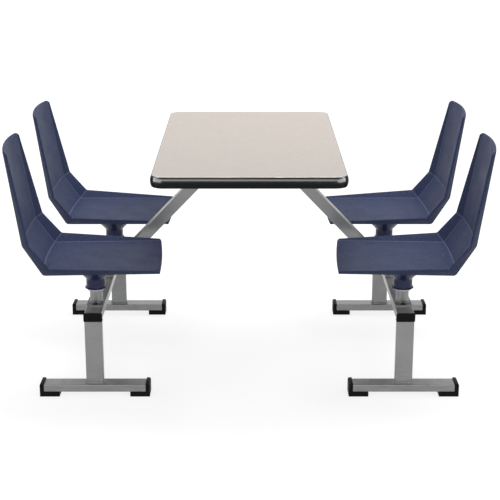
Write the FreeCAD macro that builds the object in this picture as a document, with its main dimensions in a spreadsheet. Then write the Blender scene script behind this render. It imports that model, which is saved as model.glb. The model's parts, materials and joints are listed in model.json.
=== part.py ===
"""Four-seat cluster table for a canteen: a laminate top on two leaning arms,
with a swivel seat at each end of two seat beams.

Frame: millimetres, +Z up, origin on the floor under the middle of the table.
The table is long along Y. The left seats face +X and the right seats face -X.
"""
import FreeCAD, Part
import os
import re
import Sketcher

V = FreeCAD.Vector
document = FreeCAD.newDocument("cluster_table")

# %% Driving dimensions ------------------------------------------------------
SIZES = {
    # table top
    "table_width": 610.0,
    "table_length": 1118.0,
    "table_height": 768.0,
    "top_thick": 35.5,
    "top_corner": 44.0,
    "laminate_thick": 1.2,
    "backer_thick": 0.8,
    "edge_proud": 5.0,
    "edge_round": 4.0,
    "tongue_thick": 2.4,
    "tongue_depth": 10.0,
    "tongue_gap": 0.3,
    # rectangular tube of the frame, and the plastic plugs in its ends
    "tube_wide": 57.2,
    "tube_high": 25.4,
    "tube_wall": 3.0,
    "tube_corner": 3.0,
    "plug_gap": 0.2,
    "plug_depth": 12.0,
    # frame under the seats
    "beam_offset": 508.0,
    "beam_length": 838.0,
    "post_height": 216.2,
    "rail_length": 334.0,
    "glide_pad": 16.0,
    "glide_foot": 51.0,
    "glide_wide": 61.0,
    "glide_wall": 14.0,
    "glide_lip": 3.5,
    "glide_corner": 6.0,
    "beam_cap_lip": 2.0,
    "beam_cap_thick": 4.0,
    "beam_cap_corner": 4.0,
    # arms and the carriage under the top
    "arm_deep": 50.8,
    "arm_footprint": 53.5,
    "arm_foot_shift": 1.5,
    "table_beam_offset": 107.7,
    "table_beam_length": 762.0,
    "cross_plate_length": 420.0,
    "cross_plate_wide": 60.0,
    "cross_plate_thick": 5.0,
    "cross_plate_pitch": 320.0,
    "screw_reach": 190.0,
    "screw_inner": 45.0,
    "screw_radius": 2.4,
    "screw_length": 22.0,
    "screw_head_radius": 5.0,
    "screw_head_high": 3.0,
    # fixed half of each swivel
    "seat_pitch": 609.6,
    "base_plate_length": 90.0,
    "base_plate_thick": 5.0,
    "base_bolt_offset": 35.0,
    "base_bolt_radius": 4.0,
    "base_bolt_flats": 13.0,
    "base_bolt_high": 5.3,
    "base_bolt_length": 16.0,
    "bolt_gap": 0.2,
    "stem_radius": 21.2,
    "stem_wall": 3.2,
    "stem_length": 122.0,
    "stem_plug": 12.0,
    "dust_ring_radius": 28.0,
    "dust_ring_thick": 7.0,
    "stop_pin_radius": 4.0,
    "stop_pin_reach": 5.3,
    "retainer_radius": 5.0,
    "retainer_depth": 10.0,
    "retainer_flats": 16.0,
    "retainer_high": 5.4,
    "washer_radius": 15.0,
    "washer_thick": 2.5,
    # turning half of each swivel. The front seats rest a little turned.
    "front_seat_turn": 3.0,
    "swing_each_way": 90.0,
    "stop_slack": 2.0,
    "running_gap": 0.05,
    "float_gap": 0.3,
    "bush_wall": 1.75,
    "bush_length": 20.0,
    "thrust_thick": 3.0,
    "thrust_hole": 8.0,
    "sleeve_wall": 2.4,
    "sleeve_length": 68.0,
    "notch_high": 11.0,
    "pin_above_notch": 5.0,
    "head_plate_side": 80.0,
    "head_plate_thick": 5.0,
    "head_plate_corner": 10.0,
    "head_hole": 7.0,
    "seat_bolt_offset": 30.0,
    "seat_bolt_radius": 3.0,
    "seat_bolt_flats": 10.0,
    "seat_bolt_high": 4.0,
    "seat_bolt_grip": 9.0,
    "cover_radius": 31.75,
    "cover_wall": 3.0,
    "cover_drop": 81.0,
    "cover_rise": 9.0,
    "cover_lip": 4.25,
    "cover_lip_high": 3.0,
    "flare_start": 29.0,
    "flare_radius": 10.0,
    "flare_angle": 44.0,
    "web_thick": 2.5,
    "web_hole": 24.0,
    # seat shell: the side profile, from the front of the pan to the top
    "pan_rise": 21.0,
    "pan_behind_hub": 148.5,
    "pan_length": 371.1,
    "lumbar_length": 109.2,
    "lumbar_angle": 56.5,
    "back_length": 308.3,
    "back_angle": 81.0,
    "shell_thick": 7.0,
    # seat shell: half width, dish and side wing at each of the four sections
    "front_half": 179.0,
    "front_dish": 3.0,
    "front_spread": 8.0,
    "front_wing": 5.7,
    "hip_half": 180.0,
    "hip_dish": 6.5,
    "hip_spread": 31.0,
    "hip_wing": 31.5,
    "waist_half": 171.0,
    "waist_dish": 11.0,
    "waist_spread": 36.8,
    "waist_wing": 22.3,
    "shoulder_half": 147.0,
    "shoulder_dish": 11.5,
    "shoulder_spread": 8.0,
    "shoulder_wing": 6.0,
    "top_crown": 6.0,
    "top_round": 20.0,
    "front_crown": 5.0,
    "front_round": 9.0,
    "trim_stock": 2.0,
    "trim_gap": 0.2,
    "boss_radius": 9.0,
    "insert_depth": 10.5,
}

# Levels and places worked out from the driving dimensions.
DERIVED = {
    "rail_top": "glide_pad + tube_high",
    "beam_base": "rail_top + post_height",
    "beam_top": "beam_base + tube_high",
    "post_offset": "(beam_length - tube_high) / 2",
    "stem_base": "beam_top + base_plate_thick",
    "stem_top": "stem_base + stem_length",
    "head_base": "stem_top + thrust_thick",
    "head_top": "head_base + head_plate_thick",
    "seat_mount": "head_top + web_thick",
    "cover_base": "head_top - cover_drop",
    "sleeve_inside": "stem_radius + running_gap + bush_wall",
    "sleeve_outside": "sleeve_inside + sleeve_wall",
    "sleeve_base": "head_base - sleeve_length",
    "pin_level": "sleeve_base + pin_above_notch",
    "stop_half": "(swing_each_way + stop_slack) * 1 deg + asin(stop_pin_radius / sleeve_inside)",
    "top_base": "table_height - top_thick",
    "core_base": "top_base + backer_thick",
    "core_top": "table_height - laminate_thick",
    "core_width": "table_width - 2 * edge_proud",
    "core_length": "table_length - 2 * edge_proud",
    "core_corner": "top_corner - edge_proud",
    "tongue_base": "top_base + (top_thick - tongue_thick) / 2",
    "table_beam_top": "top_base - cross_plate_thick",
    "table_beam_base": "table_beam_top - tube_high",
    "arm_rise": "table_beam_base - beam_top",
    "arm_foot_offset": "beam_offset + arm_foot_shift",
    "arm_lean": "arm_foot_offset - table_beam_offset",
    # seat shell, from its mounting plane on the hub's axis
    "hip_x": "-pan_behind_hub",
    "front_x": "hip_x + pan_length",
    "waist_x": "hip_x - lumbar_length * cos(lumbar_angle)",
    "waist_z": "pan_rise + lumbar_length * sin(lumbar_angle)",
    "shoulder_x": "waist_x - back_length * cos(back_angle)",
    "shoulder_z": "waist_z + back_length * sin(back_angle)",
    "waist_tilt": "(back_angle + lumbar_angle) / 2",
    "hip_tilt": "lumbar_angle / 2",
    "waist_rim_z": "waist_z + waist_wing * cos(waist_tilt)",
    "hip_rim_x": "hip_x + hip_wing * sin(hip_tilt)",
    "front_rim": "front_half + front_spread",
    "hip_rim": "hip_half + hip_spread",
    "waist_rim": "waist_half + waist_spread",
    "shoulder_rim": "shoulder_half + shoulder_spread",
    "top_slope": "atan((waist_rim - shoulder_rim) / (shoulder_z - waist_rim_z))",
    "front_slope": "atan((hip_rim - front_rim) / (front_x - hip_rim_x))",
}

sheet = document.addObject("Spreadsheet::Sheet", "Sizes")
for row, (name, value) in enumerate(SIZES.items(), start=1):
    sheet.set(f"A{row}", name)
    sheet.set(f"B{row}", str(value))
    sheet.setAlias(f"B{row}", name)
document.recompute()


# %% Drawing helpers ---------------------------------------------------------
def formula(text):
    """Replace the names of sizes in a formula by references to the sheet."""
    def swap(match):
        word = match.group(0)
        if word in DERIVED:
            return f"({formula(DERIVED[word])})"
        if word in SIZES:
            return f"Sizes.{word}"
        return word
    return re.sub(r"[a-z_]+", swap, text)


def number(text):
    """The value of a formula, for drawing a sketch near its solved shape."""
    result = sheet.evalExpression(formula(text))
    return float(getattr(result, "Value", result))


def bind(item, path, text):
    """Drive one property of an object by a formula."""
    item.setExpression(path, formula(text))


def new_body(label, x="0", y="0", z="0", turn="0"):
    """An empty body that stands at x, y, z and is turned about Z."""
    body = document.addObject("PartDesign::Body", label)
    body.Label = label
    body.AllowCompound = True
    place = V(number(x), number(y), number(z))
    body.Placement = FreeCAD.Placement(place, FreeCAD.Rotation(V(0, 0, 1), number(turn)))
    for axis, text in zip("xyz", (x, y, z)):
        bind(body, f"Placement.Base.{axis}", text)
    if turn != "0":
        bind(body, "Placement.Rotation.Angle", turn)
    return body


def new_sketch(body, plane, name, level="0", up="0", tilt="0", spin=0):
    """A sketch on one of the body's own planes, at a level along its normal.

    up slides it along its own vertical, tilt leans it about its horizontal
    and spin turns it in its plane.
    """
    sketch = body.newObject("Sketcher::SketchObject", f"{body.Name}_{name}")
    origin = [item for item in body.Origin.OriginFeatures if item.Role == plane]
    sketch.AttachmentSupport = [(origin[0], "")]
    sketch.MapMode = "FlatFace"
    turn = FreeCAD.Rotation(V(1, 0, 0), number(tilt)).multiply(FreeCAD.Rotation(V(0, 0, 1), spin))
    sketch.AttachmentOffset = FreeCAD.Placement(V(0, number(up), number(level)), turn)
    bind(sketch, "AttachmentOffset.Base.y", up)
    bind(sketch, "AttachmentOffset.Base.z", level)
    if tilt != "0":
        bind(sketch, "AttachmentOffset.Rotation.Angle", tilt)
    return sketch


def pin(sketch, geometry, vertex, x, y):
    """Hold one point of a sketch at the formulas x and y."""
    for kind, text in (("DistanceX", x), ("DistanceY", y)):
        index = sketch.addConstraint(Sketcher.Constraint(kind, geometry, vertex, number(text)))
        bind(sketch, f"Constraints[{index}]", text)


def size_radius(sketch, geometry, text):
    index = sketch.addConstraint(Sketcher.Constraint("Radius", geometry, number(text)))
    bind(sketch, f"Constraints[{index}]", text)


def circle(sketch, radius, x="0", y="0"):
    centre = V(number(x), number(y), 0)
    geometry = sketch.addGeometry(Part.Circle(centre, V(0, 0, 1), number(radius)), False)
    pin(sketch, geometry, 3, x, y)
    size_radius(sketch, geometry, radius)


def bowed_side(start, end, radius, way):
    """A short arc between two points. way is +1 where it turns left."""
    chord = end - start
    normal = V(-chord.y, chord.x, 0).normalize()
    reach = (radius ** 2 - (chord.Length / 2) ** 2) ** 0.5
    centre = (start + end) * 0.5 + normal * (reach * way)
    first, last = (start, end) if way > 0 else (end, start)
    ring = Part.Circle(centre, V(0, 0, 1), radius)
    from_angle = ring.parameter(first)
    to_angle = ring.parameter(last)
    return Part.ArcOfCircle(ring, from_angle, to_angle)


def outline(sketch, points, arcs=None):
    """Draw a closed outline through points, each a pair of formulas.

    arcs maps a side's number to its radius and to the way it turns: +1 for
    left, -1 for right. The other sides are straight.
    """
    arcs = arcs or {}
    spots = [V(number(x), number(y), 0) for x, y in points]
    ends = []
    for side, start in enumerate(spots):
        end = spots[(side + 1) % len(spots)]
        if side in arcs:
            radius, way = arcs[side]
            shape = bowed_side(start, end, number(radius), way)
            ends.append((1, 2) if way > 0 else (2, 1))
        else:
            shape = Part.LineSegment(start, end)
            ends.append((1, 2))
        ends[-1] = (sketch.addGeometry(shape, False),) + ends[-1]
    for side, (geometry, first, last) in enumerate(ends):
        following, follows_first, _ = ends[(side + 1) % len(ends)]
        joint = Sketcher.Constraint("Coincident", geometry, last, following, follows_first)
        sketch.addConstraint(joint)
        pin(sketch, geometry, first, *points[side])
        if side in arcs:
            size_radius(sketch, geometry, arcs[side][0])


def rectangle(sketch, wide, high, corner=None, x="0", y="0"):
    """A rectangle about x, y, with round corners where corner is given."""
    east, west = f"{x} + ({wide}) / 2", f"{x} - ({wide}) / 2"
    north, south = f"{y} + ({high}) / 2", f"{y} - ({high}) / 2"
    if corner is None:
        outline(sketch, [(west, south), (east, south), (east, north), (west, north)])
        return
    points = [
        (f"{west} + {corner}", south), (f"{east} - ({corner})", south),
        (east, f"{south} + {corner}"), (east, f"{north} - ({corner})"),
        (f"{east} - ({corner})", north), (f"{west} + {corner}", north),
        (west, f"{north} - ({corner})"), (west, f"{south} + {corner}"),
    ]
    outline(sketch, points, {side: (corner, 1) for side in (1, 3, 5, 7)})


def hexagon(sketch, flats, x="0", y="0"):
    corners = [(f"{x} + ({flats}) / sqrt(3) * cos({angle})", f"{y} + ({flats}) / sqrt(3) * sin({angle})")
               for angle in range(30, 390, 60)]
    outline(sketch, corners)


def extrude(body, kind, sketch, length, middle=False, reverse=False):
    feature = body.newObject(f"PartDesign::{kind}", f"{sketch.Name}_{kind}")
    feature.Profile = sketch
    bind(feature, "Length", length)
    feature.SideType = "Symmetric" if middle else "One side"
    feature.Reversed = reverse
    return feature


def pad(body, sketch, length, middle=False, reverse=False):
    return extrude(body, "Pad", sketch, length, middle, reverse)


def pocket(body, sketch, depth, middle=False, reverse=False):
    return extrude(body, "Pocket", sketch, depth, middle, reverse)


def revolve(body, sketch):
    feature = body.newObject("PartDesign::Revolution", f"{sketch.Name}_Revolution")
    feature.Profile = sketch
    feature.ReferenceAxis = (sketch, ["V_Axis"])
    feature.Angle = 360
    return feature


# %% Table top ---------------------------------------------------------------
def make_tabletop():
    """Core board with a face laminate, a backer and a vinyl edge in a slot."""
    core = new_body("tabletop_core", z="core_base")
    board = new_sketch(core, "XY_Plane", "board")
    rectangle(board, "core_width", "core_length", "core_corner")
    pad(core, board, "core_top - core_base")
    slot = new_sketch(core, "XY_Plane", "slot", level="tongue_base - core_base - tongue_gap")
    rectangle(slot, "core_width + 2", "core_length + 2", "core_corner + 1")
    slot_depth = "2 * (tongue_depth + tongue_gap)"
    rectangle(slot, f"core_width - {slot_depth}", f"core_length - {slot_depth}",
              "core_corner - tongue_depth - tongue_gap")
    pocket(core, slot, "tongue_thick + 2 * tongue_gap", reverse=True)

    for label, level, thick in (("tabletop_laminate", "core_top", "laminate_thick"),
                                ("tabletop_backer", "top_base", "backer_thick")):
        sheet_body = new_body(label, z=level)
        face = new_sketch(sheet_body, "XY_Plane", "face")
        rectangle(face, "core_width", "core_length", "core_corner")
        pad(sheet_body, face, thick)

    edge = new_body("tabletop_edge", z="top_base")
    band = new_sketch(edge, "XY_Plane", "band")
    rectangle(band, "table_width", "table_length", "top_corner")
    rectangle(band, "core_width", "core_length", "core_corner")
    ring = pad(edge, band, "top_thick")
    document.recompute()
    half_width = number("table_width / 2")
    outer_edges = [f"Edge{index}" for index, side in enumerate(ring.Shape.Edges, start=1)
                   if abs(side.BoundBox.XMax - half_width) < 0.01 and side.BoundBox.ZLength < 0.01
                   and side.BoundBox.YLength > number("top_corner") * 2]
    rounding = edge.newObject("PartDesign::Fillet", "tabletop_edge_rounding")
    rounding.Base = (ring, outer_edges)
    bind(rounding, "Radius", "edge_round")
    tongue = new_sketch(edge, "XY_Plane", "tongue", level="tongue_base - top_base")
    rectangle(tongue, "core_width + 0.5 * edge_proud", "core_length + 0.5 * edge_proud",
              "core_corner + 0.25 * edge_proud")
    rectangle(tongue, "core_width - 2 * tongue_depth", "core_length - 2 * tongue_depth",
              "core_corner - tongue_depth")
    pad(edge, tongue, "tongue_thick")


# %% Carriage under the top --------------------------------------------------
def tube_section(sketch, wide, high):
    """Rectangular tube: round outer corners and a bore with square ones."""
    rectangle(sketch, wide, high, "tube_corner")
    rectangle(sketch, f"{wide} - 2 * tube_wall", f"{high} - 2 * tube_wall")


def plug_section(sketch, wide, high):
    """The part of a plastic cap that goes into the tube's bore."""
    rectangle(sketch, f"{wide} - 2 * (tube_wall + plug_gap)", f"{high} - 2 * (tube_wall + plug_gap)")


def make_carriage():
    """Two tubes on the arms, the plates across them and the wood screws."""
    for side, sign in (("left", "-"), ("right", "")):
        beam = new_body(f"table_beam_{side}", x=f"{sign}table_beam_offset", z="table_beam_base + tube_high / 2")
        section = new_sketch(beam, "XZ_Plane", "section")
        tube_section(section, "tube_wide", "tube_high")
        pad(beam, section, "table_beam_length", middle=True)

    caps = new_body("table_beam_caps", z="table_beam_base + tube_high / 2")
    for end, reverse in (("", True), ("-", False)):
        flange = new_sketch(caps, "XZ_Plane", f"flange{int(reverse)}", level=f"{end}table_beam_length / 2")
        plug = new_sketch(caps, "XZ_Plane", f"plug{int(reverse)}", level=f"{end}table_beam_length / 2")
        for sign in ("-", ""):
            rectangle(flange, "tube_wide", "tube_high", "tube_corner", x=f"{sign}table_beam_offset")
            rectangle(plug, "tube_wide - 2 * (tube_wall + plug_gap)", "tube_high - 2 * (tube_wall + plug_gap)",
                      x=f"{sign}table_beam_offset")
        pad(caps, flange, "tube_wall", reverse=not reverse)
        pad(caps, plug, "plug_depth", reverse=reverse)

    screw_places = [(f"{sign}{reach}", row) for row in ("-cross_plate_pitch", "0", "cross_plate_pitch")
                    for reach in ("screw_reach", "screw_inner") for sign in ("-", "")]
    plates = new_body("cross_plates", z="table_beam_top")
    blank = new_sketch(plates, "XY_Plane", "blank")
    for row in ("-cross_plate_pitch", "0", "cross_plate_pitch"):
        rectangle(blank, "cross_plate_length", "cross_plate_wide", y=row)
    for x, y in screw_places:
        circle(blank, "screw_radius + bolt_gap", x, y)
    pad(plates, blank, "cross_plate_thick")

    screws = new_body("table_screws", z="table_beam_top")
    shanks = new_sketch(screws, "XY_Plane", "shanks")
    heads = new_sketch(screws, "XY_Plane", "heads")
    for x, y in screw_places:
        circle(shanks, "screw_radius", x, y)
        circle(heads, "screw_head_radius", x, y)
    pad(screws, heads, "screw_head_high", reverse=True)
    pad(screws, shanks, "screw_length")
    return screw_places


def drill_tabletop(screw_places):
    """Pilot holes for the wood screws, through the backer into the core."""
    for label, depth in (("tabletop_backer", "backer_thick"),
                         ("tabletop_core", "screw_length - cross_plate_thick - backer_thick + 1")):
        body = document.getObject(label)
        pilots = new_sketch(body, "XY_Plane", "pilots")
        for x, y in screw_places:
            circle(pilots, "screw_radius", x, y)
        pocket(body, pilots, depth, reverse=True)


def make_arms():
    """Straight leaning tubes, cut level where they meet the beams."""
    for side, sign, lean in (("left", "-", 1), ("right", "", -1)):
        arm = new_body(f"arm_{side}", x=f"{sign}arm_foot_offset", z="beam_top")
        foot = new_sketch(arm, "XY_Plane", "foot")
        rectangle(foot, "arm_footprint", "arm_deep", "tube_corner")
        rectangle(foot, "arm_footprint - 2 * tube_wall * sqrt(1 + (arm_lean / arm_rise) ^ 2)",
                  "arm_deep - 2 * tube_wall")
        rise = pad(arm, foot, "arm_rise")
        rise.UseCustomVector = True
        rise.AlongSketchNormal = True
        rise.Direction = V(lean * number("arm_lean"), 0, number("arm_rise"))
        bind(rise, "Direction.x", f"{lean} * arm_lean")
        bind(rise, "Direction.z", "arm_rise")


# %% Frame under the seats ---------------------------------------------------
# Place of each hub, which way its side of the table faces, and its seat's turn at rest.
HUBS = {
    "front_left": ("-beam_offset", "-seat_pitch / 2", "0", "front_seat_turn"),
    "rear_left": ("-beam_offset", "seat_pitch / 2", "0", "0"),
    "front_right": ("beam_offset", "-seat_pitch / 2", "180", "180 - front_seat_turn"),
    "rear_right": ("beam_offset", "seat_pitch / 2", "180", "180"),
}
BASE_BOLT_ROWS = [f"{end}seat_pitch / 2 {shift} base_bolt_offset" for end in ("-", "") for shift in ("-", "+")]


def make_seat_beams():
    for side, sign in (("left", "-"), ("right", "")):
        beam = new_body(f"seat_beam_{side}", x=f"{sign}beam_offset", z="beam_base + tube_high / 2")
        section = new_sketch(beam, "XZ_Plane", "section")
        tube_section(section, "tube_wide", "tube_high")
        pad(beam, section, "beam_length", middle=True)
        holes = new_sketch(beam, "XY_Plane", "holes", level="tube_high / 2")
        for row in BASE_BOLT_ROWS:
            circle(holes, "base_bolt_radius + bolt_gap", "0", row)
        pocket(beam, holes, "tube_wall + 1")

        caps = new_body(f"seat_beam_caps_{side}", x=f"{sign}beam_offset", z="beam_base + tube_high / 2")
        for end, outward in (("", False), ("-", True)):
            flange = new_sketch(caps, "XZ_Plane", f"flange{int(outward)}", level=f"{end}beam_length / 2")
            rectangle(flange, "tube_wide + 2 * beam_cap_lip", "tube_high + 2 * beam_cap_lip", "beam_cap_corner")
            pad(caps, flange, "beam_cap_thick", reverse=outward)
            plug = new_sketch(caps, "XZ_Plane", f"plug{int(outward)}", level=f"{end}beam_length / 2")
            plug_section(plug, "tube_wide", "tube_high")
            pad(caps, plug, "plug_depth", reverse=not outward)


def make_foot(row, side, x_sign, y_sign):
    """A post on a foot rail with a glide at each end."""
    x, y = f"{x_sign}beam_offset", f"{y_sign}post_offset"
    post = new_body(f"post_{row}_{side}", x=x, y=y, z="rail_top")
    section = new_sketch(post, "XY_Plane", "section")
    tube_section(section, "tube_wide", "tube_high")
    pad(post, section, "post_height")

    rail = new_body(f"foot_rail_{row}_{side}", x=x, y=y, z="glide_pad + tube_high / 2")
    section = new_sketch(rail, "YZ_Plane", "section")
    tube_section(section, "tube_wide", "tube_high")
    pad(rail, section, "rail_length", middle=True)

    glides = new_body(f"glides_{row}_{side}", x=x, y=y)
    profile = new_sketch(glides, "XZ_Plane", "profile")
    for sign, way in (("", 1), ("-", -1)):
        end, tip = f"{sign}rail_length / 2", f"{sign}(rail_length / 2 + glide_wall)"
        heel = f"{sign}(rail_length / 2 - glide_foot)"
        tip_inner = f"{sign}(rail_length / 2 + glide_wall - glide_corner)"
        top = "rail_top + glide_lip"
        points = [(heel, "0"), (tip, "0"), (tip, f"{top} - glide_corner"), (tip_inner, top),
                  (end, top), (end, "glide_pad"), (heel, "glide_pad")]
        outline(profile, points, {2: ("glide_corner", way)})
    pad(glides, profile, "glide_wide", middle=True)
    for sign, inward in (("", True), ("-", False)):
        plug = new_sketch(glides, "YZ_Plane", f"plug{int(inward)}", level=f"{sign}rail_length / 2",
                          up="glide_pad + tube_high / 2")
        plug_section(plug, "tube_wide", "tube_high")
        pad(glides, plug, "plug_depth", reverse=inward)


# %% Swivels -----------------------------------------------------------------
def make_stem(name, x, y, turn):
    """Base plate on the beam, and the stem that the seat turns on."""
    plate = new_body(f"base_plate_{name}", x=x, y=y, z="beam_top")
    blank = new_sketch(plate, "XY_Plane", "blank")
    rectangle(blank, "tube_wide", "base_plate_length", "tube_corner")
    for shift in ("-", ""):
        circle(blank, "base_bolt_radius + bolt_gap", "0", f"{shift}base_bolt_offset")
    pad(plate, blank, "base_plate_thick")

    stem = new_body(f"stem_{name}", x=x, y=y, z="stem_base", turn=turn)
    profile = new_sketch(stem, "XZ_Plane", "profile")
    bore = "stem_radius - stem_wall"
    thread = "retainer_radius + bolt_gap / 2"
    outline(profile, [(bore, "0"), ("stem_radius", "0"), ("stem_radius", "stem_length"),
                      (thread, "stem_length"), (thread, "stem_length - stem_plug"),
                      (bore, "stem_length - stem_plug")])
    revolve(stem, profile)
    pin_hole = new_sketch(stem, "YZ_Plane", "pin_hole", up="pin_level - stem_base")
    circle(pin_hole, "stop_pin_radius")
    pocket(stem, pin_hole, "stem_radius + 1", reverse=True)


def make_fixed_hardware():
    """Bolts, stop pins and dust rings, which stay still as a seat turns."""
    bolts = new_body("base_bolts", z="stem_base")
    heads = new_sketch(bolts, "XY_Plane", "heads")
    shanks = new_sketch(bolts, "XY_Plane", "shanks")
    for sign in ("-", ""):
        for row in BASE_BOLT_ROWS:
            hexagon(heads, "base_bolt_flats", f"{sign}beam_offset", row)
            circle(shanks, "base_bolt_radius", f"{sign}beam_offset", row)
    pad(bolts, heads, "base_bolt_high")
    pad(bolts, shanks, "base_bolt_length", reverse=True)

    retainers = new_body("retaining_bolts", z="head_top + float_gap")
    washers = new_sketch(retainers, "XY_Plane", "washers")
    heads = new_sketch(retainers, "XY_Plane", "heads", level="washer_thick")
    shanks = new_sketch(retainers, "XY_Plane", "shanks")
    for x, y, *_ in HUBS.values():
        circle(washers, "washer_radius", x, y)
        hexagon(heads, "retainer_flats", x, y)
        circle(shanks, "retainer_radius", x, y)
    pad(retainers, washers, "washer_thick")
    pad(retainers, heads, "retainer_high")
    pad(retainers, shanks, "head_top + float_gap - stem_top + retainer_depth", reverse=True)

    pins = new_body("stop_pins", z="pin_level")
    for sign, outward in (("-", False), ("", True)):
        reach = f"{sign}(beam_offset - stem_radius + stem_wall)"
        ends = new_sketch(pins, "YZ_Plane", f"ends{int(outward)}", level=reach)
        for row in ("-seat_pitch / 2", "seat_pitch / 2"):
            circle(ends, "stop_pin_radius", row, "0")
        pad(pins, ends, "stem_wall + stop_pin_reach", reverse=outward)

    rings = new_body("dust_rings", z="cover_base - float_gap - dust_ring_thick")
    face = new_sketch(rings, "XY_Plane", "face")
    for x, y, *_ in HUBS.values():
        circle(face, "dust_ring_radius", x, y)
        circle(face, "stem_radius", x, y)
    pad(rings, face, "dust_ring_thick")


def make_swivel(name, x, y, turn):
    """The turning half: head plate with its sleeve, bushings, cover, bolts."""
    bolt_places = [(f"{a}seat_bolt_offset", f"{b}seat_bolt_offset") for a in ("-", "") for b in ("-", "")]

    head = new_body(f"swivel_head_{name}", x=x, y=y, z="head_base", turn=turn)
    plate = new_sketch(head, "XY_Plane", "plate")
    rectangle(plate, "head_plate_side", "head_plate_side", "head_plate_corner")
    circle(plate, "head_hole")
    for place in bolt_places:
        circle(plate, "seat_bolt_radius + bolt_gap", *place)
    pad(head, plate, "head_plate_thick")
    sleeve = new_sketch(head, "XY_Plane", "sleeve")
    circle(sleeve, "sleeve_outside")
    circle(sleeve, "sleeve_inside")
    pad(head, sleeve, "sleeve_length", reverse=True)
    notch = new_sketch(head, "XY_Plane", "notch", level="-sleeve_length")
    sweep = [(f"{radius} * cos({way}stop_half)", f"{radius} * sin({way}stop_half)")
             for radius, way in (("(sleeve_outside + 2)", "-"), ("(sleeve_outside + 2)", ""),
                                 ("(sleeve_inside - 2)", ""), ("(sleeve_inside - 2)", "-"))]
    front = [("sleeve_outside + 2", "0"), ("sleeve_inside - 2", "0")]
    outline(notch, [sweep[0], front[0], sweep[1], sweep[2], front[1], sweep[3]],
            {0: ("sleeve_outside + 2", 1), 1: ("sleeve_outside + 2", 1),
             3: ("sleeve_inside - 2", -1), 4: ("sleeve_inside - 2", -1)})
    pocket(head, notch, "notch_high", reverse=True)

    bushings = new_body(f"swivel_bushings_{name}", x=x, y=y, z="head_base", turn=turn)
    profile = new_sketch(bushings, "XZ_Plane", "profile")
    bore = "stem_radius + running_gap"
    for middle in ("-thrust_thick - bush_length / 2", "notch_high - sleeve_length + bush_length / 2"):
        rectangle(profile, "bush_wall", "bush_length", x=f"{bore} + bush_wall / 2", y=middle)
    rectangle(profile, "stem_radius - thrust_hole", "thrust_thick",
              x="(stem_radius + thrust_hole) / 2", y="-thrust_thick / 2")
    revolve(bushings, profile)

    cover = new_body(f"swivel_cover_{name}", x=x, y=y, z="head_top", turn=turn)
    profile = new_sketch(cover, "XZ_Plane", "profile")
    bend = "flare_start - cover_drop"
    outer_end = ("cover_radius + flare_radius * (1 - cos(flare_angle))",
                 f"{bend} + flare_radius * sin(flare_angle)")
    inner_end = ("cover_radius + flare_radius - (flare_radius + cover_wall) * cos(flare_angle)",
                 f"{bend} + (flare_radius + cover_wall) * sin(flare_angle)")

    def on_cone(end, level):
        return (f"{end[0]} + ({level} - ({end[1]})) * tan(flare_angle)", level)

    outline(profile, [
        ("cover_radius - cover_wall", "-cover_drop"), ("cover_radius + cover_lip", "-cover_drop"),
        ("cover_radius + cover_lip", "cover_lip_high - cover_drop"),
        ("cover_radius", "cover_lip_high - cover_drop"), ("cover_radius", bend),
        outer_end, on_cone(outer_end, "cover_rise"), on_cone(inner_end, "cover_rise"),
        on_cone(inner_end, "web_thick"), ("web_hole", "web_thick"), ("web_hole", "0"),
        on_cone(inner_end, "0"), inner_end, ("cover_radius - cover_wall", bend),
    ], {4: ("flare_radius", -1), 12: ("flare_radius + cover_wall", 1)})
    revolve(cover, profile)
    holes = new_sketch(cover, "XY_Plane", "holes")
    for place in bolt_places:
        circle(holes, "seat_bolt_radius + bolt_gap", *place)
    pocket(cover, holes, "web_thick", reverse=True)

    bolts = new_body(f"seat_bolts_{name}", x=x, y=y, z="head_base", turn=turn)
    heads = new_sketch(bolts, "XY_Plane", "heads")
    shanks = new_sketch(bolts, "XY_Plane", "shanks")
    for place in bolt_places:
        hexagon(heads, "seat_bolt_flats", *place)
        circle(shanks, "seat_bolt_radius", *place)
    pad(bolts, heads, "seat_bolt_high", reverse=True)
    pad(bolts, shanks, "head_plate_thick + web_thick + seat_bolt_grip")


# %% Seat shells -------------------------------------------------------------
def bow_radius(half, dish):
    """Radius of an arc with the given half chord and depth."""
    return f"((({half}) ^ 2 + ({dish}) ^ 2) / (2 * ({dish})))"


def tray_section(body, name, x, z, tilt, station, thick):
    """One cross section of the shell: a dished floor between two wings."""
    half, dish = f"{station}_half", f"{station}_dish"
    spread, wing = f"{station}_spread", f"{station}_wing"
    slope = f"atan({wing} / {spread})"
    rim = (f"{half} + {spread}", wing)
    rim_below = (f"{rim[0]} + shell_thick * sin({slope})", f"{wing} - shell_thick * cos({slope})")
    below = (f"{half} + shell_thick * tan({slope} / 2)", f"-({thick})")
    right = [(half, "0"), rim, rim_below, below]
    left = [(f"-({across})", height) for across, height in reversed(right)]
    sketch = new_sketch(body, "YZ_Plane", name, level=x, up=z, tilt=tilt)
    outline(sketch, right + left, {3: (bow_radius(below[0], dish), -1), 7: (bow_radius(half, dish), 1)})
    return sketch


def trim_end(body, name, plane, spin, rim, reach, slope, crown, corner):
    """Cut one end of the shell to a crowned edge with two round corners."""
    arch = f"(2 * atan({crown} / ({rim})))"
    run = f"({corner} / tan((90 deg + {slope} + {arch}) / 2))"
    side = (f"{rim} + {run} * sin({slope})", f"{reach} - {run} * cos({slope})")
    edge = (f"{rim} - {run} * cos({arch})", f"{reach} + {run} * sin({arch})")
    far = "(2 * back_length)"
    points = [side, edge, (f"-({edge[0]})", edge[1]), (f"-({side[0]})", side[1]),
              (f"-{far}", side[1]), (f"-{far}", f"{reach} + {far}"),
              (far, f"{reach} + {far}"), (far, side[1])]
    sketch = new_sketch(body, plane, name, spin=spin)
    outline(sketch, points, {0: (corner, 1), 1: (bow_radius(rim, crown), 1), 2: (corner, 1)})
    pocket(body, sketch, "4 * back_length", middle=True)


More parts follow.
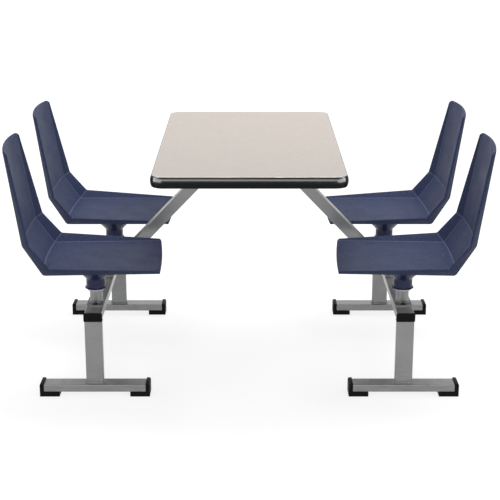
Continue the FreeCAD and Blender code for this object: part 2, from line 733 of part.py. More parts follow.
def make_seat_shell(name, x, y, turn):
    """Moulded shell: pan, lumbar and back facets between two side wings."""
    shell = new_body(f"seat_shell_{name}", x=x, y=y, z="seat_mount", turn=turn)
    sections = [
        tray_section(shell, "shoulder", "shoulder_x", "shoulder_z", "back_angle", "shoulder", "shell_thick"),
        tray_section(shell, "waist", "waist_x", "waist_z", "waist_tilt", "waist",
                     "shell_thick / cos((back_angle - lumbar_angle) / 2)"),
        tray_section(shell, "hip", "hip_x", "pan_rise", "hip_tilt", "hip", "shell_thick / cos(hip_tilt)"),
        tray_section(shell, "front", "front_x", "pan_rise", "0", "front", "shell_thick"),
    ]
    tray = shell.newObject("PartDesign::AdditiveLoft", f"{shell.Name}_tray")
    tray.Profile = sections[0]
    tray.Sections = sections[1:]
    tray.Ruled = True
    trim_end(shell, "top_trim", "YZ_Plane", 0,
             "(shoulder_rim + (top_crown + trim_stock) * tan(top_slope) + trim_gap)",
             "(shoulder_z - top_crown - trim_stock)", "top_slope", "top_crown", "top_round")
    trim_end(shell, "front_trim", "XY_Plane", -90,
             "(front_rim + (front_crown + trim_stock) * tan(front_slope) + trim_gap)",
             "(front_x - front_crown - trim_stock)", "front_slope", "front_crown", "front_round")
    boss_places = [(f"{a}seat_bolt_offset", f"{b}seat_bolt_offset") for a in ("-", "") for b in ("-", "")]
    bosses = new_sketch(shell, "XY_Plane", "bosses")
    inserts = new_sketch(shell, "XY_Plane", "inserts")
    for place in boss_places:
        circle(bosses, "boss_radius", *place)
        circle(inserts, "seat_bolt_radius", *place)
    pad(shell, bosses, "pan_rise - (hip_dish + front_dish) / 2 - shell_thick / 2")
    pocket(shell, inserts, "insert_depth", reverse=True)


# %% Build, check and write --------------------------------------------------
make_tabletop()
drill_tabletop(make_carriage())
make_arms()
make_seat_beams()
for row, y_sign in (("front", "-"), ("rear", "")):
    for side, x_sign in (("left", "-"), ("right", "")):
        make_foot(row, side, x_sign, y_sign)
make_fixed_hardware()
for hub, (hub_x, hub_y, side_turn, seat_turn) in HUBS.items():
    make_stem(hub, hub_x, hub_y, side_turn)
    make_swivel(hub, hub_x, hub_y, seat_turn)
    make_seat_shell(hub, hub_x, hub_y, seat_turn)
document.recompute()

for item in document.Objects:
    if "Invalid" in item.State or "Error" in item.State:
        raise RuntimeError(f"{item.Name} failed: {item.State}")
    if item.TypeId == "PartDesign::Pocket" and item.Shape.Volume >= item.BaseFeature.Shape.Volume:
        raise RuntimeError(f"{item.Name} cuts nothing")

bodies = [item for item in document.Objects if item.TypeId == "PartDesign::Body"]
for body in bodies:
    if body.Shape.isNull() or not body.Shape.isValid():
        raise RuntimeError(f"{body.Label} has no valid shape")

os.makedirs("parts", exist_ok=True)
for body in bodies:
    body.Shape.exportStep(f"parts/{body.Label}.step")
print(f"{len(bodies)} parts written")
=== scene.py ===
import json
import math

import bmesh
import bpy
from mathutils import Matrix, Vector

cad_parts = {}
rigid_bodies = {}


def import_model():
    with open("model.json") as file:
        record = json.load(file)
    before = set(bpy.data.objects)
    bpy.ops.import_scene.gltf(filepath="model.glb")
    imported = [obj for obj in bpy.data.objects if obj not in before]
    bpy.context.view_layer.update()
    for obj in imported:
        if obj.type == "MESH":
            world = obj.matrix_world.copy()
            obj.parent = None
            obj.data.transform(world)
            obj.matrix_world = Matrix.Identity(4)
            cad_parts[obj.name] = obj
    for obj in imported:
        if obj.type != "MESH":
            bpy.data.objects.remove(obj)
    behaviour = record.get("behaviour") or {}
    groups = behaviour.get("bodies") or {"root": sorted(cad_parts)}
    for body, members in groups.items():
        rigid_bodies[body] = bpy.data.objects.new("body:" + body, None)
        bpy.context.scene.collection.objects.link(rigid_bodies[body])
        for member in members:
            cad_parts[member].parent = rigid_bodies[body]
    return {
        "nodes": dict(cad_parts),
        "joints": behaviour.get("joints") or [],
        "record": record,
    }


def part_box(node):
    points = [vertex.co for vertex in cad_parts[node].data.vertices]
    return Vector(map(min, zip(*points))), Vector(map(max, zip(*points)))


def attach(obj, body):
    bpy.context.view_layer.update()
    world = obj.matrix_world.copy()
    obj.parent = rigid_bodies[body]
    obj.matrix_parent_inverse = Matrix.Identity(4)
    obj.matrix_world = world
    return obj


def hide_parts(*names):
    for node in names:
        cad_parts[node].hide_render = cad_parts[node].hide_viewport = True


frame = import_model()

# %% [markdown]
# # Four-seat cluster table
# A laminate table top stands on two leaning arms, and four moulded seats turn on stems.
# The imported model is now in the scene: every node is a finished solid at its true size and place.
# Blender adds what a solid does not have: soft creases, rounded rims, weld beads and surface finishes.
# The first cell loads the modules and clears what a new Blender file may contain.

for item in list(bpy.data.objects):
    if item.name in ("Cube", "Light", "Camera"):
        bpy.data.objects.remove(item)


def rounded(point):
    """A point with short numbers, for printing."""
    return tuple(round(value, 4) for value in point)


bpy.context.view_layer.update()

# %% [markdown]
# The seats turn about four hubs. Their places are not typed again: each one is read from its joint.
# The seats on the left face +X, and the seats on the right are the same moulding turned half round.
# At rest a seat may stand off the middle of its swing, and the joint's two limits say how far.

# %% Hubs of the four seats
hubs = {}
for joint in frame["joints"]:
    corner = joint["child"].replace("seat_", "")
    x, y, _ = joint["pos_m"]
    rest_turn = math.radians(-sum(joint["range_deg"]) / 2)
    hubs[corner] = (Vector((x, y, 0)), rest_turn + (0.0 if x < 0 else math.pi))
hub_places = [place for place, _ in hubs.values()]
for corner, (place, turn) in hubs.items():
    print("hub", corner, rounded(place), round(math.degrees(turn), 1))

# %% [markdown]
# ## Camera
# The camera stands in front of the short end of the table and looks slightly down.
# A long lens keeps the four seats nearly the same size, as in a catalogue picture.

# %% Camera
CAMERA_PLACE = (0.0, -4.332, 1.6546)
CAMERA_PITCH = math.radians(16.461)
LENS = 91.96

bpy.ops.object.camera_add(location=CAMERA_PLACE, rotation=(math.pi / 2 - CAMERA_PITCH, 0, 0))
camera = bpy.context.object
camera.data.lens = LENS
camera.data.sensor_width = 36
camera.data.shift_x = 0.0014
camera.data.clip_end = 200
bpy.context.scene.camera = camera
bpy.context.scene.view_settings.view_transform = "Standard"
print("camera", camera.data.lens, "mm")

# %% [markdown]
# ## Studio
# Rectangular area lamps act as softboxes. The first hangs over the table and a little behind it, so
# rims and rounded edges catch a thin bright line. The second is wide and stands far in front, so it
# fills the faces that look at the camera evenly. Area lamps were chosen over points because their
# shadows are soft.

# %% Softboxes
def softbox(name, place, aim, wide, high, watts):
    """A rectangular area lamp at a place, turned towards a point."""
    bpy.ops.object.light_add(type="AREA", location=place)
    lamp = bpy.context.object
    lamp.name = name
    lamp.data.shape = "RECTANGLE"
    lamp.data.size = wide
    lamp.data.size_y = high
    lamp.data.energy = watts
    lamp.rotation_euler = (Vector(aim) - Vector(place)).to_track_quat("-Z", "Y").to_euler()
    return lamp


room_lamps = [softbox("overhead_box", (0.4, 1.0, 3.4), (0.1, 0.1, 0.5), 3.6, 2.4, 68),
              softbox("front_box", (0.4, -8.0, 2.4), (0.0, 0, 0.6), 7.0, 1.9, 120)]
print("softboxes", len(room_lamps))

# %% [markdown]
# The world, the floor and every finish are networks of nodes. A socket knows the network it is in, so
# the helpers need only sockets: wire joins two, ranged stretches a value to a new range, and combined
# does one sum on two values. new_finish starts a material and keeps it by name.

# %% Node helpers
finishes = {}


def wire(output, socket):
    """Join an output to an input."""
    output.id_data.links.new(output, socket)


def ranged(value, low, high, to_low=0.0, to_high=1.0):
    """Stretch the part of a value between low and high to a new range."""
    node = value.id_data.nodes.new("ShaderNodeMapRange")
    for name, number in (("From Min", low), ("From Max", high), ("To Min", to_low), ("To Max", to_high)):
        node.inputs[name].default_value = number
    wire(value, node.inputs["Value"])
    return node.outputs["Result"]


def combined(operation, first, second):
    """The result of one Math node on two values."""
    node = first.id_data.nodes.new("ShaderNodeMath")
    node.operation = operation
    wire(first, node.inputs[0])
    wire(second, node.inputs[1])
    return node.outputs[0]


def new_finish(name, roughness, metallic=0.0, specular=0.5):
    """A material whose even values are set on the shader itself."""
    finish = bpy.data.materials.new(name)
    finish.use_nodes = True
    shader = finish.node_tree.nodes["Principled BSDF"]
    shader.inputs["Roughness"].default_value = roughness
    shader.inputs["Metallic"].default_value = metallic
    shader.inputs["Specular IOR Level"].default_value = specular
    finishes[name] = finish
    return finish


print("node helpers ready")

# %% [markdown]
# The world gives an even light from all sides. What the camera sees of it is plain white, and so is
# what polished surfaces mirror. The Light Path node tells those rays apart, so the white background
# adds no light to the object.

# %% World
AMBIENT = 0.35

world = bpy.data.worlds.new("studio")
world.use_nodes = True
bpy.context.scene.world = world
background = world.node_tree.nodes["Background"]
background.inputs["Color"].default_value = (1, 1, 1, 1)
rays = world.node_tree.nodes.new("ShaderNodeLightPath").outputs
seen = combined("MAXIMUM", rays["Is Camera Ray"], rays["Is Transmission Ray"])
seen = combined("MAXIMUM", seen, rays["Is Glossy Ray"])
wire(ranged(seen, 0, 1, AMBIENT, 1), background.inputs["Strength"])
print("ambient", AMBIENT)

# %% [markdown]
# The floor is a wide plane. Part of its white is given off and part is reflected light, so it runs
# into the background without a horizon and still darkens where the object shades it. The lamps
# reach only its middle, so the given-off part grows with the distance from the table.

# %% Floor
GLOW_NEAR, GLOW_FAR = 0.80, 0.94
NEAR_RADIUS, FAR_RADIUS = 1.2, 5.0

bpy.ops.mesh.primitive_plane_add(size=60, location=(0, 0, 0))
floor = bpy.context.object
floor.name = "floor"
paper = new_finish("floor_paper", 1.0, specular=0.0)
nodes = paper.node_tree.nodes
matt = nodes["Principled BSDF"]
matt.inputs["Base Color"].default_value = (0.45, 0.45, 0.45, 1)
distance = nodes.new("ShaderNodeVectorMath")
distance.operation = "LENGTH"
wire(nodes.new("ShaderNodeTexCoord").outputs["Object"], distance.inputs[0])
growth = ranged(distance.outputs["Value"], NEAR_RADIUS, FAR_RADIUS, GLOW_NEAR, GLOW_FAR)
growth.node.interpolation_type = "SMOOTHSTEP"
rays = nodes.new("ShaderNodeLightPath").outputs
seen = combined("MAXIMUM", rays["Is Camera Ray"], rays["Is Glossy Ray"])
glow = nodes.new("ShaderNodeEmission")
wire(combined("MULTIPLY", seen, growth), glow.inputs["Strength"])
both = nodes.new("ShaderNodeAddShader")
wire(matt.outputs[0], both.inputs[0])
wire(glow.outputs[0], both.inputs[1])
wire(both.outputs[0], nodes["Material Output"].inputs["Surface"])
floor.data.materials.append(paper)
print("floor", floor.dimensions[0], "m")

# %% [markdown]
# ## Finishes
# Each finish is a small node network on one Principled shader, and most of its detail is grain: noise
# or cells in real size. All grains read Object coordinates in metres, so their scale is the number of
# grains per metre, and a pattern has the same size on every piece.

# %% Grain
def place_in_metres(finish):
    """Object coordinates, from one node that all grains of a finish share."""
    nodes = finish.node_tree.nodes
    node = nodes.get("Texture Coordinate") or nodes.new("ShaderNodeTexCoord")
    return node.outputs["Object"]


def grain(finish, scale, detail=3.0, stretch=(1, 1, 1), kind="ShaderNodeTexNoise"):
    """Noise or cells in real size. stretch above 1 packs it closer along that axis."""
    mapping = finish.node_tree.nodes.new("ShaderNodeMapping")
    mapping.inputs["Scale"].default_value = stretch
    texture = finish.node_tree.nodes.new(kind)
    texture.inputs["Scale"].default_value = scale
    texture.inputs["Detail"].default_value = detail
    wire(place_in_metres(finish), mapping.inputs["Vector"])
    wire(mapping.outputs["Vector"], texture.inputs["Vector"])
    return texture.outputs[0]


def height_above_floor(finish):
    """The Z coordinate, for dirt and scuffs that belong near the floor."""
    split = finish.node_tree.nodes.new("ShaderNodeSeparateXYZ")
    wire(place_in_metres(finish), split.inputs[0])
    return split.outputs["Z"]


print("grain ready")

# %% [markdown]
# A grain becomes visible in three ways: it mixes two colours, it raises the surface a little, or it
# changes the roughness. The last helper joins the three to the shader.

# %% Colour, bump and coat
def blended(share, first, second):
    """Mix two colours, each a triple or another node's output."""
    node = share.id_data.nodes.new("ShaderNodeMix")
    node.data_type = "RGBA"
    wire(share, node.inputs["Factor"])
    for socket, colour in ((node.inputs[6], first), (node.inputs[7], second)):
        if isinstance(colour, tuple):
            socket.default_value = (*colour, 1)
        else:
            wire(colour, socket)
    return node.outputs[2]


def bumped(height, depth, under=None):
    """Raise the surface by up to depth metres where height is 1."""
    node = height.id_data.nodes.new("ShaderNodeBump")
    node.inputs["Strength"].default_value = 1.0
    node.inputs["Distance"].default_value = depth
    wire(height, node.inputs["Height"])
    if under is not None:
        wire(under, node.inputs["Normal"])
    return node.outputs["Normal"]


def coated(finish, colour, surface, roughness=None):
    """Join a colour, a bump and, where it varies, a roughness to the shader."""
    shader = finish.node_tree.nodes["Principled BSDF"]
    wire(colour, shader.inputs["Base Color"])
    wire(surface, shader.inputs["Normal"])
    if roughness is not None:
        wire(roughness, shader.inputs["Roughness"])
    print("finish", finish.name)


print("finish helpers ready")

# %% [markdown]
# ### Laminate
# The top is a pressed laminate in a warm light grey. Its print is a soft, slightly woven mottle.
# One noise stretched along X and one along Y give the woven look, and a coarse noise keeps large
# areas from being even. The bump is only a few hundredths of a millimetre deep.

# %% Laminate
finish = new_finish("laminate_top", 0.42)
across = grain(finish, 420, 2, stretch=(0.25, 1.6, 1))
along = grain(finish, 420, 2, stretch=(1.6, 0.25, 1))
weave = blended(ranged(across, 0.3, 0.7), (0.57, 0.505, 0.455), (0.64, 0.57, 0.52))
cross = blended(ranged(along, 0.35, 0.65), (0.56, 0.50, 0.45), weave)
mottle = ranged(grain(finish, 9, 4), 0.35, 0.65, 0.0, 0.35)
coated(finish, blended(mottle, cross, (0.62, 0.55, 0.485)),
       bumped(across, 0.00006, bumped(along, 0.00006)),
       ranged(grain(finish, 55, 5), 0.3, 0.7, 0.36, 0.5))

# %% [markdown]
# ### Vinyl edge
# The edge is extruded black vinyl, polished by the die. It is glossy, with a faint wave where it was
# pulled round the board and small scuffs where chairs and bags have rubbed it.

# %% Vinyl
finish = new_finish("vinyl_edge", 0.22, specular=0.1)
scuff = grain(finish, 160, 6)
worn = ranged(scuff, 0.58, 0.75)
coated(finish, blended(worn, (0.0005, 0.0005, 0.0006), (0.0016, 0.0016, 0.0018)),
       bumped(grain(finish, 30, 3), 0.00005),
       ranged(scuff, 0.45, 0.75, 0.2, 0.25))

# %% [markdown]
# ### Powder coat
# The steel frame is powder coated in silver grey. Baked powder has an orange-peel surface, which is
# a bump about two millimetres wide, and metal flake, which shows as very fine light specks. Shoes
# scuff the steel low down, so a noise multiplied by the nearness to the floor darkens it there. The
# weld beads get a coarser bump besides the orange peel, for the ripples of the weld.

# %% Powder coat
def powder_finish(name, ripple=False):
    """Powder coat on steel. ripple adds the waves of a weld bead."""
    finish = new_finish(name, 0.3, metallic=0.45)
    flake = ranged(grain(finish, 1600, 2), 0.55, 0.75, 0.0, 0.6)
    cloud = grain(finish, 14, 4)
    base = blended(ranged(cloud, 0.35, 0.65), (0.28, 0.282, 0.282), (0.32, 0.321, 0.319))
    paint = blended(flake, base, (0.54, 0.54, 0.535))
    low = ranged(height_above_floor(finish), 0.02, 0.16, 1.0, 0.0)
    marks = ranged(grain(finish, 70, 6, stretch=(0.4, 0.4, 2.4)), 0.52, 0.62)
    scuffed = ranged(combined("MULTIPLY", low, marks), 0.0, 1.0, 0.0, 0.3)
    surface = bumped(grain(finish, 480, 2), 0.00012)
    if ripple:
        surface = bumped(grain(finish, 260, 1), 0.0012, surface)
    coated(finish, blended(scuffed, paint, (0.17, 0.17, 0.168)), surface,
           ranged(cloud, 0.3, 0.7, 0.27, 0.35))


powder_finish("painted_frame")
powder_finish("painted_weld", ripple=True)

# %% [markdown]
# ### Moulded navy seats
# The seats are glass-reinforced plastic pressed in a textured mould. The colour goes all through, and
# lighter fibres under the surface lie along the seat, so their noise is drawn out along X. A fine
# pebble bump breaks up the gloss, and sitting people have polished the pan and the back, which a slow
# noise in the roughness suggests. Along the creases the colour is lightened as a painted highlight.
# The mesh will store a value named crease on those points, and an Attribute node reads it here.

# %% Seat plastic
finish = new_finish("seat_shell", 0.5, specular=0.06)
fibre = ranged(grain(finish, 380, 6, stretch=(0.6, 1, 1)), 0.38, 0.66)
cloud = ranged(grain(finish, 9, 3), 0.35, 0.65)
base = blended(cloud, (0.036, 0.048, 0.112), (0.041, 0.054, 0.121))
navy = blended(fibre, base, (0.077, 0.096, 0.184))
crease = finish.node_tree.nodes.new("ShaderNodeAttribute")
crease.attribute_name = "crease"
# Painted highlight: along the creases the navy is lightened towards pale blue, standing in for the light
# line they catch.
painted_crease_highlight = ranged(crease.outputs["Fac"], 0.2, 1.0, 0.0, 0.62)
coated(finish, blended(painted_crease_highlight, navy, (0.16, 0.18, 0.285)),
       bumped(grain(finish, 1100, 2), 0.00018),
       ranged(grain(finish, 16, 4), 0.35, 0.65, 0.46, 0.54))

# %% [markdown]
# The swivel covers are moulded too, but of a plain filled plastic: fine pale specks instead of
# fibres, a smoother skin and a stronger gloss.

# %% Cover plastic
finish = new_finish("swivel_cover", 0.3, specular=0.22)
cloud = grain(finish, 40, 4)
fine = grain(finish, 900, 3)
base = blended(ranged(cloud, 0.35, 0.65), (0.03, 0.038, 0.106), (0.038, 0.046, 0.118))
specks = ranged(fine, 0.55, 0.75, 0.0, 0.5)
coated(finish, blended(specks, base, (0.062, 0.075, 0.155)),
       bumped(fine, 0.00008), ranged(cloud, 0.3, 0.7, 0.22, 0.32))

# %% [markdown]
# ### Black plastic
# Glides and end caps are injection moulded with a fine spark-eroded texture. They are almost matt,
# and grey dust settles in the texture near the floor.

# %% Black plastic
finish = new_finish("black_plastic", 0.45, specular=0.1)
dust = grain(finish, 90, 6)
near_floor = ranged(height_above_floor(finish), 0.0, 0.03, 1.0, 0.1)
dusty = combined("MULTIPLY", near_floor, ranged(dust, 0.45, 0.75, 0.0, 0.25))
coated(finish, blended(dusty, (0.0035, 0.0035, 0.004), (0.04, 0.038, 0.036)),
       bumped(grain(finish, 1300, 3), 0.00012),
       ranged(dust, 0.3, 0.7, 0.44, 0.6))

# %% [markdown]
# ### Screws and bolts
# Zinc plate is a bright metal with a faint blue and yellow cast. Black steel is oxidised and oiled,
# so it is less metallic and its roughness follows the oxide.

# %% Zinc and black steel
finish = new_finish("zinc_steel", 0.3, metallic=1.0)
cast = ranged(grain(finish, 120, 3), 0.35, 0.65)
coated(finish, blended(cast, (0.56, 0.58, 0.62), (0.66, 0.63, 0.55)),
       bumped(grain(finish, 900, 2), 0.00005),
       ranged(grain(finish, 500, 4), 0.3, 0.7, 0.24, 0.42))

finish = new_finish("black_steel", 0.38, metallic=0.6)
oxide = grain(finish, 200, 5)
tint = ranged(oxide, 0.4, 0.7)
coated(finish, blended(tint, (0.012, 0.012, 0.013), (0.045, 0.043, 0.042)),
       bumped(grain(finish, 1000, 2), 0.00006),
       ranged(oxide, 0.3, 0.7, 0.3, 0.48))

# %% [markdown]
# ### Nylon and the hidden materials of the top
# Nylon is milky. The board's edges show pressed chips, which Voronoi cells imitate, and the backer
# sheet is brown kraft paper with fibres drawn out along Y.

# %% Nylon, board and backer
finish = new_finish("nylon", 0.38)
milk = grain(finish, 60, 3)
tint = ranged(milk, 0.3, 0.7)
coated(finish, blended(tint, (0.78, 0.78, 0.76), (0.86, 0.86, 0.84)),
       bumped(grain(finish, 1200, 2), 0.00004),
       ranged(milk, 0.3, 0.7, 0.32, 0.44))

finish = new_finish("particle_board", 0.85, specular=0.2)
chips = grain(finish, 420, kind="ShaderNodeTexVoronoi")
tint = ranged(grain(finish, 300, 4), 0.3, 0.7)
pale = blended(tint, (0.46, 0.33, 0.19), (0.62, 0.49, 0.32))
coated(finish, blended(ranged(chips, 0.2, 0.7), pale, (0.3, 0.2, 0.11)),
       bumped(chips, 0.0003))

finish = new_finish("backer_sheet", 0.6, specular=0.3)
paper_fibre = grain(finish, 240, 6, stretch=(1, 0.3, 1))
cloud = grain(finish, 8, 4)
base = blended(ranged(cloud, 0.35, 0.65), (0.1, 0.068, 0.042), (0.125, 0.088, 0.056))
streaks = ranged(paper_fibre, 0.5, 0.75, 0.0, 0.6)
coated(finish, blended(streaks, base, (0.18, 0.135, 0.09)),
       bumped(paper_fibre, 0.00008), ranged(cloud, 0.3, 0.7, 0.52, 0.68))

# %% [markdown]
# ## Dress the nodes
# The record says which finish each solid has. A node keeps its mesh and only gets the finish.

# %% Finishes on the nodes
def give_finish(piece, name):
    """Put one finish in the place of whatever materials a piece has."""
    piece.data.materials.clear()
    piece.data.materials.append(finishes[name])


for entry in frame["record"]["subparts"]:
    give_finish(frame["nodes"][entry["node"]], entry["material_slot"])

# %% [markdown]
# ## Modelling helpers
# An operator acts on whatever is selected, so a piece is always taken up alone first. Points, edges
# and faces are then picked by a test on their place, as a modeller would box-select them.

# %% Selecting and editing
HAIR = 0.0001  # the gap behind a cap, and how near to its level a picked point has to be


def take_up(piece):
    """Select one piece alone and make it the active one."""
    bpy.ops.object.select_all(action="DESELECT")
    piece.select_set(True)
    bpy.context.view_layer.objects.active = piece


def new_piece(primitive, name, **settings):
    """Add a primitive with nothing else selected, and name it."""
    bpy.ops.object.select_all(action="DESELECT")
    primitive(**settings)
    bpy.context.object.name = name
    return bpy.context.object


def enter_edit(piece):
    """Open a piece in edit mode with all of it selected."""
    take_up(piece)
    bpy.ops.object.mode_set(mode="EDIT")
    bpy.ops.mesh.select_all(action="SELECT")


def leave_edit():
    """Return to object mode."""
    bpy.ops.object.mode_set(mode="OBJECT")


def pick(piece, kind, test):
    """In edit mode, select the VERT, EDGE or FACE items that pass a test."""
    bpy.ops.mesh.select_mode(type=kind)
    bpy.ops.mesh.select_all(action="DESELECT")
    mesh = bmesh.from_edit_mesh(piece.data)
    for item in {"VERT": mesh.verts, "EDGE": mesh.edges, "FACE": mesh.faces}[kind]:
        if test(item):
            item.select_set(True)
    bmesh.update_edit_mesh(piece.data)


def extrude_up(height):
    """Extrude what is selected along Z."""
    bpy.ops.mesh.extrude_region_move(TRANSFORM_OT_translate={"value": (0, 0, height)})


print("editing helpers ready")

# %% [markdown]
# A modifier is applied as soon as it is added, so a finished piece is a plain mesh. Its place is put
# into the mesh too, because a grain on Object coordinates would slide if the object were moved.

# %% Modifiers and clean-up
def modify(piece, kind, **settings):
    """Add a modifier with its settings and apply it at once."""
    take_up(piece)
    modifier = piece.modifiers.new(kind.lower(), kind)
    for name, value in settings.items():
        setattr(modifier, name, value)
    bpy.ops.object.modifier_apply(modifier=modifier.name)


def round_edges(piece, width, segments, above_degrees):
    """Bevel all edges that turn by more than an angle."""
    modify(piece, "BEVEL", width=width, segments=segments, limit_method="ANGLE",
           angle_limit=math.radians(above_degrees))


def face_outwards(piece):
    """Merge double points and make all faces point outwards."""
    enter_edit(piece)
    bpy.ops.mesh.remove_doubles(threshold=0.00001)
    bpy.ops.mesh.normals_make_consistent(inside=False)
    leave_edit()


def settle(piece):
    """Put the place of a piece into its mesh, so its object sits at the origin."""
    take_up(piece)
    bpy.ops.object.transform_apply(location=True, rotation=True, scale=True)


print("clean-up helpers ready")

# %% [markdown]
# A piece that repeats is modelled once. The master is copied to its places, each copy with a mesh of
# its own, and then removed.

# %% Copies and dress
SMOOTH_BELOW = math.radians(32)


def copy_to(master, name, place, turn=0.0):
    """A copy with its own mesh, turned about Z and moved to a place."""
    twin = master.copy()
    twin.data = master.data.copy()
    twin.name = name
    bpy.context.collection.objects.link(twin)
    twin.location = place
    twin.rotation_euler = (0, 0, turn)
    settle(twin)
    return twin


def spread(master, places):
    """A copy of a master at each place. The master is removed."""
    twins = [copy_to(master, "copy", place) for place in places]
    bpy.data.objects.remove(master)
    return twins


def join(pieces, name):
    """Join several pieces into the first one."""
    take_up(pieces[0])
    for piece in pieces:
        piece.select_set(True)
    bpy.ops.object.join()
    pieces[0].name = name
    return pieces[0]


def dress(piece, slot, body, *nodes, finish=None):
    """Give a piece the finish of its record slot or a named one, attach it to its body and hide the nodes
    it stands for.
    """
    give_finish(piece, finish or slot)
    take_up(piece)
    bpy.ops.object.shade_smooth_by_angle(angle=SMOOTH_BELOW)
    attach(piece, body)
    if nodes:
        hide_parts(*nodes)
    print(piece.name, len(piece.data.polygons), "faces")


def dress_each_seat(master, name, slot):
    """Copy a master to every hub. Each copy rides on its seat and stands for its node."""
    for corner, (place, turn) in hubs.items():
        piece = copy_to(master, f"{name}_{corner}", place, turn)
        dress(piece, slot, f"seat_{corner}", f"{slot}_{corner}")
    bpy.data.objects.remove(master)


print("copies ready")

# %% [markdown]
# ## Round pieces
# Covers, dust rings, washers, screw heads and the bosses under the seats are round, so all are made
# as on a lathe: a circle is the first ring of points, and it is extruded and resized from ring to
# ring along the profile. The last ring falls on the first one, and merging the two closes the wall.

# %% Lathe helper
def turned(name, rings, segments=72):
    """Extrude a circle from ring to ring. Each ring is a radius and a level."""
    piece = new_piece(bpy.ops.mesh.primitive_circle_add, name, vertices=segments,
                      radius=rings[0][0], location=(0, 0, rings[0][1]))
    settle(piece)
    enter_edit(piece)
    for (radius, level), (next_radius, next_level) in zip(rings, rings[1:] + rings[:1]):
        extrude_up(next_level - level)
        widen = next_radius / radius
        bpy.ops.transform.resize(value=(widen, widen, 1), center_override=(0, 0, next_level))
    leave_edit()
    face_outwards(piece)
    return piece


print("lathe ready")

# %% [markdown]
# ## Seat shell
# The shell is one sheet with three dished facets, pan, lumbar and back, between two flared wings.
# It could be carved from a block or drawn with subdivision, but the real one is a pressed sheet.
# So a flat grid is the blank, each of its points is pulled to its place on the mould, the creases are
# bevelled, the half is mirrored, and Solidify gives the wall. The side profile comes first: four
# points joined by three straight lines, set out from the hub.

# %% Side profile of the seat
PAN_RISE = 0.021
PAN_BEHIND_HUB = 0.1485
PAN_LENGTH = 0.3711
LUMBAR_LENGTH = 0.1092
LUMBAR_ANGLE = math.radians(56.5)
BACK_LENGTH = 0.3083
BACK_ANGLE = math.radians(81)

shell_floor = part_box("seat_shell_front_left")[0][2]
pan_level = shell_floor + PAN_RISE
hip = Vector((-PAN_BEHIND_HUB, 0, pan_level))
front = hip + Vector((PAN_LENGTH, 0, 0))
waist = hip + LUMBAR_LENGTH * Vector((-math.cos(LUMBAR_ANGLE), 0, math.sin(LUMBAR_ANGLE)))
top = waist + BACK_LENGTH * Vector((-math.cos(BACK_ANGLE), 0, math.sin(BACK_ANGLE)))
print("side profile", [rounded(point) for point in (front, hip, waist, top)])

# %% [markdown]
# At each of the four points the mould has a cross section. It has a half width, the way its middle
# sags from a straight line, and the spread and height of the wing beside it. At the hip the middle
# sags backwards, so the crease behind the sitter is bowed. Between sections the mould runs straight.

# %% Cross sections of the seat
HIP_WING_LEAN = math.radians(40)
WAIST_LEAN = (LUMBAR_ANGLE + BACK_ANGLE) / 2


def leaning(angle, length):
    """A vector square to a line of the side profile that climbs at an angle."""
    return length * Vector((math.sin(angle), 0, math.cos(angle)))


# place, half width, sag of the middle, wing spread, wing rise
SECTIONS = [
    (front, 0.179, leaning(0, -0.003), 0.008, leaning(0, 0.0057)),
    (hip, 0.180, Vector((-0.012, 0, -0.004)), 0.031, leaning(HIP_WING_LEAN, 0.0345)),
    (waist, 0.171, leaning(WAIST_LEAN, -0.011), 0.0368, leaning(WAIST_LEAN, 0.0223)),
    (top, 0.147, leaning(BACK_ANGLE, -0.0115), 0.008, leaning(BACK_ANGLE, 0.006)),
]


def section_point(section, floor_share, wing_share):
    """A point of one cross section, by its share of the floor and of the wing."""
    place, half, sag, spread_out, wing = section
    across = Vector((0, half * floor_share + spread_out * wing_share, 0))
    return place + across + sag * (1 - floor_share ** 2) + wing * wing_share


def sections_beside(run):
    """The sections before and after a run, and the share of the way between them."""
    first = min(int(run), len(SECTIONS) - 2)
    return SECTIONS[first], SECTIONS[first + 1], run - first


def mould_point(run, floor_share, wing_share):
    """A point of the sitting face. run is 0 at the front, 1 hip, 2 waist, 3 top."""
    near, far, share = sections_beside(run)
    return section_point(near, floor_share, wing_share).lerp(
        section_point(far, floor_share, wing_share), share)


def shares_at(run, across):
    """The floor and wing shares of a distance from the middle line."""
    near, far, share = sections_beside(run)
    half = near[1] * (1 - share) + far[1] * share
    spread_out = near[3] * (1 - share) + far[3] * share
    if across <= half:
        return across / half, 0.0
    return 1.0, (across - half) / spread_out


print("sections", len(SECTIONS))

# %% [markdown]
# The blank's rows run from the top edge to the front edge, and its columns from the middle line to
# the rim. Both ends are crowned and have round corners. The last row of an end follows the first part
# of the corner's arc, and the two rows before it meet the rim further along the arc.

# %% Crowned ends
FLOOR_COLUMNS = [0, 0.15, 0.3, 0.45, 0.6, 0.73, 0.86, 0.93, 1.0]
COLUMNS = [(share, 0.0) for share in FLOOR_COLUMNS] + [(1.0, 0.5), (1.0, 1.0)]
CREASE_COLUMN = FLOOR_COLUMNS.index(1.0)
ARC_COLUMN_SHARE = 0.86
TOP_RUN, WAIST_RUN, HIP_RUN, FRONT_RUN = 3.0, 2.0, 1.0, 0.0
MIDDLE_RUNS = [2.62, 2.3, WAIST_RUN, 1.5, HIP_RUN, 0.66, 0.33]
TRIM_STOCK = 0.002
LAST_ARC = math.radians(66)
END_ARCS = [LAST_ARC, math.radians(78), math.pi / 2]
ROWS = len(MIDDLE_RUNS) + 2 * len(END_ARCS)
WAIST_ROW, HIP_ROW = (len(END_ARCS) + MIDDLE_RUNS.index(run) for run in (WAIST_RUN, HIP_RUN))

# run at the end, run per metre away from it, crown, corner radius, slope of the rim
TOP_END = (TOP_RUN, -1 / (BACK_LENGTH * math.sin(BACK_ANGLE)), 0.006, 0.011, math.radians(9.5))
FRONT_END = (FRONT_RUN, 1 / PAN_LENGTH, 0.005, 0.009, math.radians(3.5))


